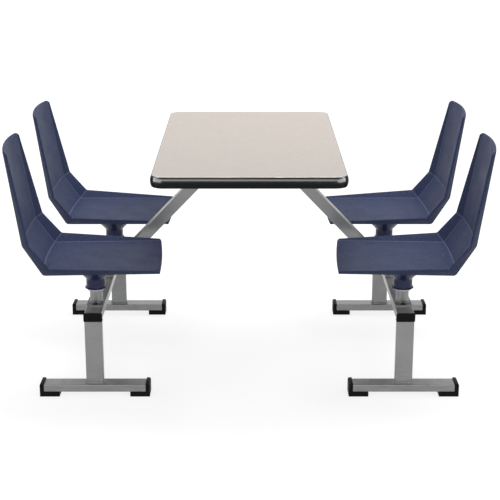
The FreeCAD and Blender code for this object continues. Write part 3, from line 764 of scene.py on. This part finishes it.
def end_point(end, column):
    """A point of an end's last row, on the crowned edge or on the corner's arc."""
    run_at_end, run_per_metre, crown, corner, slope = end
    floor_share, wing_share = COLUMNS[column]
    _, half, _, spread_out, _ = SECTIONS[int(run_at_end)]
    rim = half + spread_out
    inner = rim - corner
    crease_arc = math.asin((half - inner) / corner)
    if wing_share > 0:
        angle = crease_arc + (LAST_ARC - crease_arc) * wing_share
    else:
        angle = crease_arc * max(0, floor_share - ARC_COLUMN_SHARE) / (1 - ARC_COLUMN_SHARE)
    across = inner * min(1, floor_share / ARC_COLUMN_SHARE) + corner * math.sin(angle)
    back = corner * (1 - math.cos(angle))
    run = run_at_end + run_per_metre * (TRIM_STOCK + crown * (across / rim) ** 2 + back)
    return mould_point(run, *shares_at(run, across + math.tan(slope) * back))


def arc_point(end, column, arc):
    """A point of a row that meets the rim where the corner has turned by arc."""
    run_at_end, run_per_metre, crown, corner, _ = end
    floor_share, wing_share = COLUMNS[column]
    drop = TRIM_STOCK + crown + corner * (1 - math.cos(arc))
    pulled = Vector((0, corner * (1 - math.sin(arc)) * wing_share, 0))
    return mould_point(run_at_end + run_per_metre * drop, floor_share, wing_share) - pulled


def sheet_point(row, column):
    """Where a point of the blank goes."""
    for end, rows_away in ((TOP_END, row), (FRONT_END, ROWS - 1 - row)):
        if rows_away == 0:
            return end_point(end, column)
        if rows_away < len(END_ARCS):
            return arc_point(end, column, END_ARCS[rows_away])
    return mould_point(MIDDLE_RUNS[row - len(END_ARCS)], *COLUMNS[column])


print("top corner", rounded(sheet_point(0, len(COLUMNS) - 1)))

# %% [markdown]
# Now the blank itself: a grid primitive with one row for each place that matters. In edit mode each
# point is selected and translated to the mould. Working on one half halves the work.

# %% Press the blank
def press_blank():
    """A grid primitive, pulled point by point onto the mould and left in edit mode."""
    blank = new_piece(bpy.ops.mesh.primitive_grid_add, "seat_master", size=0.4,
                      x_subdivisions=ROWS - 1, y_subdivisions=len(COLUMNS) - 1)
    enter_edit(blank)
    bpy.ops.mesh.select_mode(type="VERT")
    for column in range(len(COLUMNS)):
        for row in range(ROWS):
            bpy.ops.mesh.select_all(action="DESELECT")
            mesh = bmesh.from_edit_mesh(blank.data)
            mesh.verts.ensure_lookup_table()
            point = mesh.verts[column * ROWS + row]
            point.select_set(True)
            bpy.ops.transform.translate(value=sheet_point(row, column) - point.co)
    return blank


seat_master = press_blank()
print("pressed", ROWS * len(COLUMNS), "points")

# %% [markdown]
# The creases are bevelled in one go while there is only half a sheet: the two bends and the long
# crease beside the wing. Mirror makes the sheet whole, and Solidify lays the wall on its outside.
# The points in the middle of each bevel get the value 1 in an attribute, where the finish paints a
# highlight.
# Only the sitting side keeps it: the points that Solidify adds are put back to 0.

# %% Creases, wall and rim
CREASE_WIDTH = 0.0034
SHELL_THICK = 0.007

creases = [{column * ROWS + row for column in range(len(COLUMNS))} for row in (HIP_ROW, WAIST_ROW)]
creases.append({CREASE_COLUMN * ROWS + row for row in range(ROWS)})
pick(seat_master, "EDGE", lambda edge: any(all(point.index in crease for point in edge.verts)
                                           for crease in creases))
bpy.ops.mesh.bevel(offset=CREASE_WIDTH, segments=4, affect="EDGES", clamp_overlap=False)
sheet = bmesh.from_edit_mesh(seat_master.data)
crease_value = sheet.verts.layers.float.new("crease")
for point in sheet.verts:
    if point.select and all(face.select for face in point.link_faces):
        point[crease_value] = 1.0
leave_edit()
modify(seat_master, "MIRROR", use_axis=(False, True, False), use_clip=True, merge_threshold=0.0001)
face_outwards(seat_master)
if min(seat_master.data.polygons, key=lambda face: face.center.z).normal.z < 0:
    enter_edit(seat_master)
    bpy.ops.mesh.flip_normals()
    leave_edit()
sitting_points = len(seat_master.data.vertices)
modify(seat_master, "SOLIDIFY", thickness=SHELL_THICK, offset=-1, use_even_offset=True)
for entry in seat_master.data.attributes["crease"].data[sitting_points:]:
    entry.value = 0.0
round_edges(seat_master, width=0.0024, segments=4, above_degrees=45)
print("seat wall", SHELL_THICK, "m,", len(seat_master.data.polygons), "faces")

# %% [markdown]
# Four round bosses under the pan take the bolts of the swivel's head plate. Each is a short tube
# that begins inside the wall. They are joined to the shell before it is copied to the four hubs.

# %% Bosses and the four seats
BOSS_RADIUS = 0.009
BOSS_BORE = 0.003
BOSS_OFFSET = 0.030
BOSS_EDGE = 0.0005
BOSS_ROOT = 0.006

boss_root = pan_level - BOSS_ROOT
boss_master = turned("boss_master", [
    (BOSS_BORE, shell_floor), (BOSS_RADIUS - BOSS_EDGE, shell_floor),
    (BOSS_RADIUS, shell_floor + BOSS_EDGE), (BOSS_RADIUS, boss_root), (BOSS_BORE, boss_root)], 32)
bosses = spread(boss_master, [(along, across, 0) for along in (-BOSS_OFFSET, BOSS_OFFSET)
                              for across in (-BOSS_OFFSET, BOSS_OFFSET)])
dress_each_seat(join([seat_master] + bosses, "seat_master"), "moulded_seat", "seat_shell")

# %% [markdown]
# ## Swivel
# The swivel cover is one navy moulding. A straight collar hides the stem's sleeve, a small lip
# stiffens its lower end, and a flare spreads under the pan. The flare begins as an arc and runs on
# as a cone, as if the collar had been pressed over a funnel.

# %% Flare of the cover
COVER_RADIUS = 0.03175
COVER_WALL = 0.003
COLLAR_LENGTH = 0.029
FLARE_RADIUS = 0.010
FLARE_ANGLE = math.radians(44)
FLARE_STEPS = 7
RIM_TUCK = 0.0012

cover_low, cover_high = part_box("swivel_cover_rear_left")
cover_base, cover_rim = cover_low[2], cover_high[2] + RIM_TUCK
bend = cover_base + COLLAR_LENGTH


def flare(radius):
    """Rings along the flare's arc, then the end of its cone, for one side of the wall."""
    middle = COVER_RADIUS + FLARE_RADIUS
    angles = [FLARE_ANGLE * step / FLARE_STEPS for step in range(FLARE_STEPS + 1)]
    rings = [(middle - radius * math.cos(angle), bend + radius * math.sin(angle)) for angle in angles]
    end_radius, end_level = rings[-1]
    rings.append((end_radius + (cover_rim - end_level) * math.tan(FLARE_ANGLE), cover_rim))
    return rings


print("flare", len(flare(FLARE_RADIUS)), "rings")

# %% [markdown]
# The rings of the cover run up its outside from the lip to the rim, down inside the flare to a thin
# web with a hole for the stem's head, and on down the inner side of the wall.

# %% Swivel covers
LIP_PROUD = 0.00425
LIP_HIGH = 0.003
LIP_TAPER = 0.0002
LIP_FILLET = 0.0012
WEB_RISE = 0.0835
WEB_WALL = 0.0025
WEB_HOLE = 0.024

inside = flare(FLARE_RADIUS + COVER_WALL)
web_top = cover_base + WEB_RISE
web_under = web_top - WEB_WALL
web_rim = inside[-1][0] - (cover_rim - web_top) * math.tan(FLARE_ANGLE)
lip_top = cover_base + LIP_HIGH
cover_master = turned("cover_master", (
    [(COVER_RADIUS - COVER_WALL, cover_base), (COVER_RADIUS + LIP_PROUD, cover_base),
     (COVER_RADIUS + LIP_PROUD, lip_top), (COVER_RADIUS + LIP_FILLET, lip_top + LIP_TAPER),
     (COVER_RADIUS, lip_top + LIP_TAPER + LIP_FILLET)]
    + flare(FLARE_RADIUS) + [inside[-1]]
    + [(web_rim, web_top), (WEB_HOLE, web_top), (WEB_HOLE, web_under),
       (web_rim - WEB_WALL * math.tan(FLARE_ANGLE), web_under)]
    + inside[-2::-1]))
round_edges(cover_master, width=0.0007, segments=2, above_degrees=40)
dress_each_seat(cover_master, "cover", "swivel_cover")

# %% [markdown]
# A white nylon ring lies on the stem just below each cover and keeps dirt out of the bushings.

# %% Dust rings
RING_IN, RING_UP = 0.0006, 0.0008

ring_low, ring_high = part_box("dust_rings")
stem_low, stem_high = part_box("stem_rear_left")
stem_radius = (stem_high[0] - stem_low[0]) / 2
ring_radius = ring_high[0] - max(place.x for place in hub_places)
ring_master = turned("ring_master", [
    (stem_radius, ring_low[2]), (ring_radius - RING_IN, ring_low[2]),
    (ring_radius, ring_low[2] + RING_UP), (ring_radius, ring_high[2] - RING_UP),
    (ring_radius - RING_IN, ring_high[2]), (stem_radius, ring_high[2])])
round_edges(ring_master, width=0.0004, segments=2, above_degrees=30)
dress(join(spread(ring_master, hub_places), "nylon_rings"), "nylon", "frame", "dust_rings")

# %% [markdown]
# ## Vinyl edge
# The edge band is an extrusion with a rounded outer side, pushed into a slot round the board. A
# curve could carry the profile round, but insets do it with plain mesh work. A rounded rectangle
# starts at the fattest line of the band, and each inset steps inwards and up along the profile:
# first a long shallow arc, then the tight round of the lip that laps the laminate.
# The upper half is then mirrored, because the band is the same above and below its middle.

# %% Profile of the edge band
LIP = 0.001
SIDE_STEPS, LIP_STEPS = 9, 5

edge_low, edge_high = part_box("tabletop_edge")
edge_half = (edge_high[2] - edge_low[2]) / 2
edge_proud = edge_high[0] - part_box("tabletop_laminate")[1][0]
belly = edge_proud - LIP
arc_radius = (edge_half ** 2 + belly ** 2) / (2 * belly)
shoulder = math.asin((edge_half - LIP) / arc_radius)
profile = []
for step in range(SIDE_STEPS + 1):
    angle = shoulder * step / SIDE_STEPS
    profile.append((arc_radius * (1 - math.cos(angle)), arc_radius * math.sin(angle)))
lip_inward, lip_upward = profile[-1]
for step in range(1, LIP_STEPS + 1):
    angle = shoulder + (math.pi / 2 - shoulder) * step / LIP_STEPS
    share = (math.cos(shoulder) - math.cos(angle)) / math.cos(shoulder)
    climb = (math.sin(angle) - math.sin(shoulder)) / (1 - math.sin(shoulder))
    profile.append((lip_inward + (edge_proud - lip_inward) * share,
                    lip_upward + (edge_half - lip_upward) * climb))
print("edge band", round(edge_half * 2000, 1), "mm high")

# %% [markdown]
# The rounded rectangle is a plane whose four points are bevelled. The weld beads round the tubes will
# start from the same shape, so a helper makes it and leaves it in edit mode.

# %% Edge band
EDGE_CORNER = 0.044


def rounded_plane(name, place, wide, deep, corner, segments):
    """A rectangle with round corners, in edit mode and all selected."""
    piece = new_piece(bpy.ops.mesh.primitive_plane_add, name, size=1, location=place)
    piece.scale = (wide, deep, 1)
    bpy.ops.object.transform_apply(location=False, rotation=False, scale=True)
    enter_edit(piece)
    bpy.ops.mesh.select_mode(type="VERT")
    bpy.ops.mesh.bevel(offset=corner, segments=segments, affect="VERTICES")
    bpy.ops.mesh.select_mode(type="FACE")
    bpy.ops.mesh.select_all(action="SELECT")
    return piece


edge = rounded_plane("edge_band", (0, 0, edge_low[2] + edge_half), edge_high[0] - edge_low[0],
                     edge_high[1] - edge_low[1], EDGE_CORNER, 14)
for (inward, upward), (next_inward, next_upward) in zip(profile, profile[1:]):
    bpy.ops.mesh.inset(thickness=next_inward - inward, depth=next_upward - upward, use_even_offset=True)
extrude_up(-edge_half)
bpy.ops.mesh.delete(type="ONLY_FACE")
leave_edit()
modify(edge, "MIRROR", use_axis=(False, False, True), use_clip=True, merge_threshold=0.0001)
face_outwards(edge)
settle(edge)
dress(edge, "vinyl_edge", "frame", "tabletop_edge")

# %% [markdown]
# Polished black shows only what it mirrors, so the band needs lamps of its own. A long strip in front
# draws the line along its upper half, one behind draws the line along its lip, and a panel at each
# side lights the corners. Light linking keeps them off everything else.

# %% Lamps for the edge band
mirrored = bpy.data.collections.new("mirrored_in_edge")
mirrored.objects.link(edge)
edge_lamps = [
    softbox("front_strip", (-0.3, -5.6, 1.98), (0, -0.5, 0.75), 5.0, 1.1, 620),
    softbox("lip_strip", (0, 1.5, 3.0), (0, -0.4, 0.75), 3.0, 0.4, 1500),
    softbox("left_panel", (-3.0, -2.0, 1.1), (-0.5, -0.5, 0.75), 5.0, 1.5, 1000),
    softbox("right_panel", (3.0, -2.0, 1.1), (0.5, -0.5, 0.75), 5.0, 1.5, 1000)]
for lamp in edge_lamps:
    lamp.light_linking.receiver_collection = mirrored
print("edge lamps", len(edge_lamps))

# %% [markdown]
# ## Glides and caps
# Each foot rail ends in a black glide: a pad under the rail that turns up and covers the tube's end.
# A block is cut in two by a bisecting plane at the rail's end, the outer part is extruded up, and
# its top corner gets a wide bevel. All other edges get the small radius that a mould leaves.

# %% Glides
GLIDE_LENGTH = 0.065
GLIDE_CORNER = 0.006

glide_low, glide_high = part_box("glides_rear_left")
rail_low, rail_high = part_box("foot_rail_rear_left")
pad_high = rail_low[2] - HAIR


def centre(low, high):
    """The middle of a box."""
    return [(a + b) / 2 for a, b in zip(low, high)]


def block(name, low, high):
    """A cube primitive fitted between two corners."""
    piece = new_piece(bpy.ops.mesh.primitive_cube_add, name, size=1, location=centre(low, high))
    piece.scale = [b - a for a, b in zip(low, high)]
    settle(piece)
    return piece


def glide_at(end):
    """One glide of the rear left rail. end is -1 or 1 along X."""
    tip = glide_low[0] if end < 0 else glide_high[0]
    rail_end = rail_low[0] if end < 0 else rail_high[0]
    heel = tip - end * GLIDE_LENGTH
    glide = block("glide", (min(tip, heel), glide_low[1], 0), (max(tip, heel), glide_high[1], pad_high))
    enter_edit(glide)
    bpy.ops.mesh.bisect(plane_co=(rail_end + end * HAIR, 0, 0), plane_no=(1, 0, 0))
    pick(glide, "FACE", lambda face: face.normal.z > 0.9
         and (face.calc_center_median().x - rail_end) * end > 0)
    extrude_up(glide_high[2] - pad_high)
    pick(glide, "EDGE", lambda edge: all(point.co.z > glide_high[2] - HAIR
                                         and abs(point.co.x - tip) < HAIR for point in edge.verts))
    bpy.ops.mesh.bevel(offset=GLIDE_CORNER, segments=5, affect="EDGES")
    leave_edit()
    round_edges(glide, width=0.0013, segments=3, above_degrees=30)
    return glide


glide_pair = join([glide_at(-1), glide_at(1)], "glide_pair")
for corner in hubs:
    row_low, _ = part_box(f"glides_{corner}")
    feet = copy_to(glide_pair, f"feet_{corner}", (row_low[0] - glide_low[0], row_low[1] - glide_low[1], 0))
    dress(feet, "black_plastic", "frame", f"glides_{corner}")
bpy.data.objects.remove(glide_pair)

# %% [markdown]
# The beams' ends are shut by caps with a slightly domed face. Two insets in the outer face, pushed
# outwards a little, give the dome, and the side edges are rounded like the tube's own corners. The
# insets together stop just short of that radius, or their lines would cross.

# %% End caps
CAP_DOME = 0.0008
CAP_RIM = 0.0012
CORNER_LEFT = 0.0004


def cap(low, high, outward, corner):
    """A plug's flange between two corners, domed towards outward along Y."""
    flat_low = (low[0], low[1] + (CAP_DOME if outward < 0 else 0), low[2])
    flat_high = (high[0], high[1] - (CAP_DOME if outward > 0 else 0), high[2])
    piece = block("cap", flat_low, flat_high)
    enter_edit(piece)
    pick(piece, "EDGE", lambda edge: abs(edge.verts[0].co.y - edge.verts[1].co.y) > 0.001)
    bpy.ops.mesh.bevel(offset=corner, segments=5, affect="EDGES")
    pick(piece, "FACE", lambda face: face.normal.y * outward > 0.9)
    bpy.ops.mesh.inset(thickness=CAP_RIM, depth=CAP_DOME * 0.6)
    bpy.ops.mesh.inset(thickness=corner - CAP_RIM - CORNER_LEFT, depth=CAP_DOME * 0.4)
    leave_edit()
    round_edges(piece, width=0.0004, segments=2, above_degrees=25)
    return piece


def cap_pair(beam, low, high, corner):
    """The caps on both ends of a beam, which fill the box from low to high beyond it."""
    beam_low, beam_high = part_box(beam)
    return [cap((low[0], beam_high[1] + HAIR, low[2]), high, 1, corner),
            cap(low, (high[0], beam_low[1] - HAIR, high[2]), -1, corner)]


for side in ("left", "right"):
    pair = cap_pair(f"seat_beam_{side}", *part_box(f"seat_beam_caps_{side}"), 0.004)
    dress(join(pair, f"beam_ends_{side}"), "black_plastic", "frame", f"seat_beam_caps_{side}")

under_caps = []
under_low, under_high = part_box("table_beam_caps")
for side in ("left", "right"):
    beam_low, beam_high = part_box(f"table_beam_{side}")
    under_caps += cap_pair(f"table_beam_{side}", (beam_low[0], under_low[1], beam_low[2]),
                           (beam_high[0], under_high[1], beam_high[2]), 0.003)
dress(join(under_caps, "table_beam_ends"), "black_plastic", "frame", "table_beam_caps")

# %% [markdown]
# ## Weld beads
# The frame is welded where its tubes meet. A weld bead is a row of overlapping puddles, which a
# curve with a round bevel makes well: its path runs round the joint, and every second point of the
# path has a smaller radius, so the bead swells and narrows, by amounts that a sine keeps unequal. The
# curve is then turned into a mesh.

# %% Bead helper
BEAD = 0.0032
PUDDLE = 0.0035
NECK = 0.84
UNEVEN = 0.1
MOST_CUTS = 60
TUBE_CORNER = 0.003


def bead(path):
    """Turn a closed path of edges into a weld bead with a swelling about every puddle."""
    enter_edit(path)
    bpy.ops.mesh.select_mode(type="EDGE")
    lengths = [edge.calc_length() for edge in bmesh.from_edit_mesh(path.data).edges]
    for size in sorted({round(length, 4) for length in lengths}):
        cuts = min(int(size / PUDDLE), MOST_CUTS)
        if cuts:
            pick(path, "EDGE", lambda edge: abs(edge.calc_length() - size) < 0.0002)
            bpy.ops.mesh.subdivide(number_cuts=cuts)
    leave_edit()
    bpy.ops.object.convert(target="CURVE")
    path.data.bevel_depth = BEAD
    path.data.bevel_resolution = 3
    for spline in path.data.splines:
        for number, point in enumerate(spline.points):
            swell = NECK if number % 2 else 1.0
            point.radius = swell * (1 + UNEVEN * math.sin(number * 1.7))
    bpy.ops.object.convert(target="MESH")
    settle(path)
    face_outwards(path)
    return path


def tube_bead(place, wide, deep):
    """A bead round a rectangular tube that stands on something."""
    path = rounded_plane("bead", place, wide, deep, TUBE_CORNER, 4)
    bpy.ops.mesh.delete(type="ONLY_FACE")
    leave_edit()
    return bead(path)


print("bead radius", BEAD)

# %% [markdown]
# Beads run round the foot and the head of each post, the foot of each stem, and both ends of the
# leaning arms, where a slanted tube meets a level face and its footprint is longer than its section.

# %% Beads on posts, arms and stems
BEAD_RISE = 0.0004
POST_HEAD_DROP = 0.0012
ARM_FOOTPRINT = 0.0535

beads = []
for corner in hubs:
    low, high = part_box(f"post_{corner}")
    x, y, _ = centre(low, high)
    wide, deep = high[0] - low[0], high[1] - low[1]
    beads.append(tube_bead((x, y, low[2] + BEAD_RISE), wide, deep))
    beads.append(tube_bead((x, y, high[2] - POST_HEAD_DROP),
                           wide - 2 * POST_HEAD_DROP, deep - POST_HEAD_DROP))
    low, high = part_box(f"stem_{corner}")
    x, y, _ = centre(low, high)
    beads.append(bead(new_piece(bpy.ops.mesh.primitive_circle_add, "bead", vertices=40,
                                radius=stem_radius, location=(x, y, low[2] + BEAD_RISE))))
for side, sign in (("left", -1), ("right", 1)):
    low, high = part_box(f"arm_{side}")
    foot, head = (high[0], low[0]) if sign > 0 else (low[0], high[0])
    half = sign * ARM_FOOTPRINT / 2
    for x, level in ((foot - half, low[2] + BEAD_RISE), (head + half, high[2] - BEAD_RISE)):
        beads.append(tube_bead((x, 0, level), ARM_FOOTPRINT, high[1] - low[1]))
dress(join(beads, "weld_beads"), "painted_frame", "frame", finish="painted_weld")

# %% [markdown]
# ## Bolts and screws
# A base bolt has a hexagon head on a washer. Its head is a circle primitive with six points, filled
# and extruded, and the chamfer that every rolled head has is a bevel of its upper edges.

# %% Base bolts
BOLT_FLATS = 0.013
BOLT_OFFSET = 0.035
BOLT_CHAMFER = 0.001
WASHER_BORE = 0.0041
WASHER_RADIUS = 0.0088
WASHER_EDGE = 0.0008
WASHER_SIDE = 0.001
WASHER_HIGH = 0.0014
HEAD_SINK = 0.0002

plate_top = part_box("base_plate_rear_left")[1][2]
bolt_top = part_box("base_bolts")[1][2]


def hexagon(level, high):
    """A hexagon head with a chamfered upper end."""
    head = new_piece(bpy.ops.mesh.primitive_circle_add, "head", vertices=6, fill_type="NGON",
                     radius=BOLT_FLATS / math.sqrt(3), location=(0, 0, level))
    settle(head)
    enter_edit(head)
    extrude_up(high)
    pick(head, "EDGE", lambda edge: all(point.co.z > level + high - HAIR for point in edge.verts))
    bpy.ops.mesh.bevel(offset=BOLT_CHAMFER, segments=2, affect="EDGES")
    leave_edit()
    face_outwards(head)
    return head


washer = turned("washer", [
    (WASHER_BORE, plate_top), (WASHER_RADIUS, plate_top), (WASHER_RADIUS, plate_top + WASHER_SIDE),
    (WASHER_RADIUS - WASHER_EDGE, plate_top + WASHER_HIGH), (WASHER_BORE, plate_top + WASHER_HIGH)], 32)
head_level = plate_top + WASHER_HIGH - HEAD_SINK
bolt_master = join([washer, hexagon(head_level, bolt_top - head_level)], "bolt_master")
bolts = spread(bolt_master, [place + Vector((0, shift, 0)) for place in hub_places
                             for shift in (-BOLT_OFFSET, BOLT_OFFSET)])
dress(join(bolts, "plate_bolts"), "black_steel", "frame", "base_bolts")

# %% [markdown]
# The wood screws under the top have domed pan heads with a socket. Their rings run down the outside
# of the head and back up into the socket, to a point that is almost on the axis.

# %% Wood screws
SCREW_ACROSS = (0.190, 0.045)
SCREW_ALONG = 0.320
SOCKET = 0.0018

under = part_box("cross_plates")[0][2]
screw_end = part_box("table_screws")[0][2]
screw_master = turned("screw_master", [
    (0.0024, under), (0.005, under), (0.005, under - 0.0009), (0.0043, under - 0.0021),
    (0.0031, screw_end), (SOCKET, screw_end), (0.0014, screw_end + SOCKET),
    (0.0001, screw_end + SOCKET), (0.0001, under)], 24)
screws = spread(screw_master, [(side * across, along, 0) for along in (-SCREW_ALONG, 0, SCREW_ALONG)
                               for across in SCREW_ACROSS for side in (-1, 1)])
dress(join(screws, "board_screws"), "zinc_steel", "frame", "table_screws")

# %% [markdown]
# ## Finish
# The view layer is brought up to date with all the new pieces.

# %% Finish
bpy.context.view_layer.update()
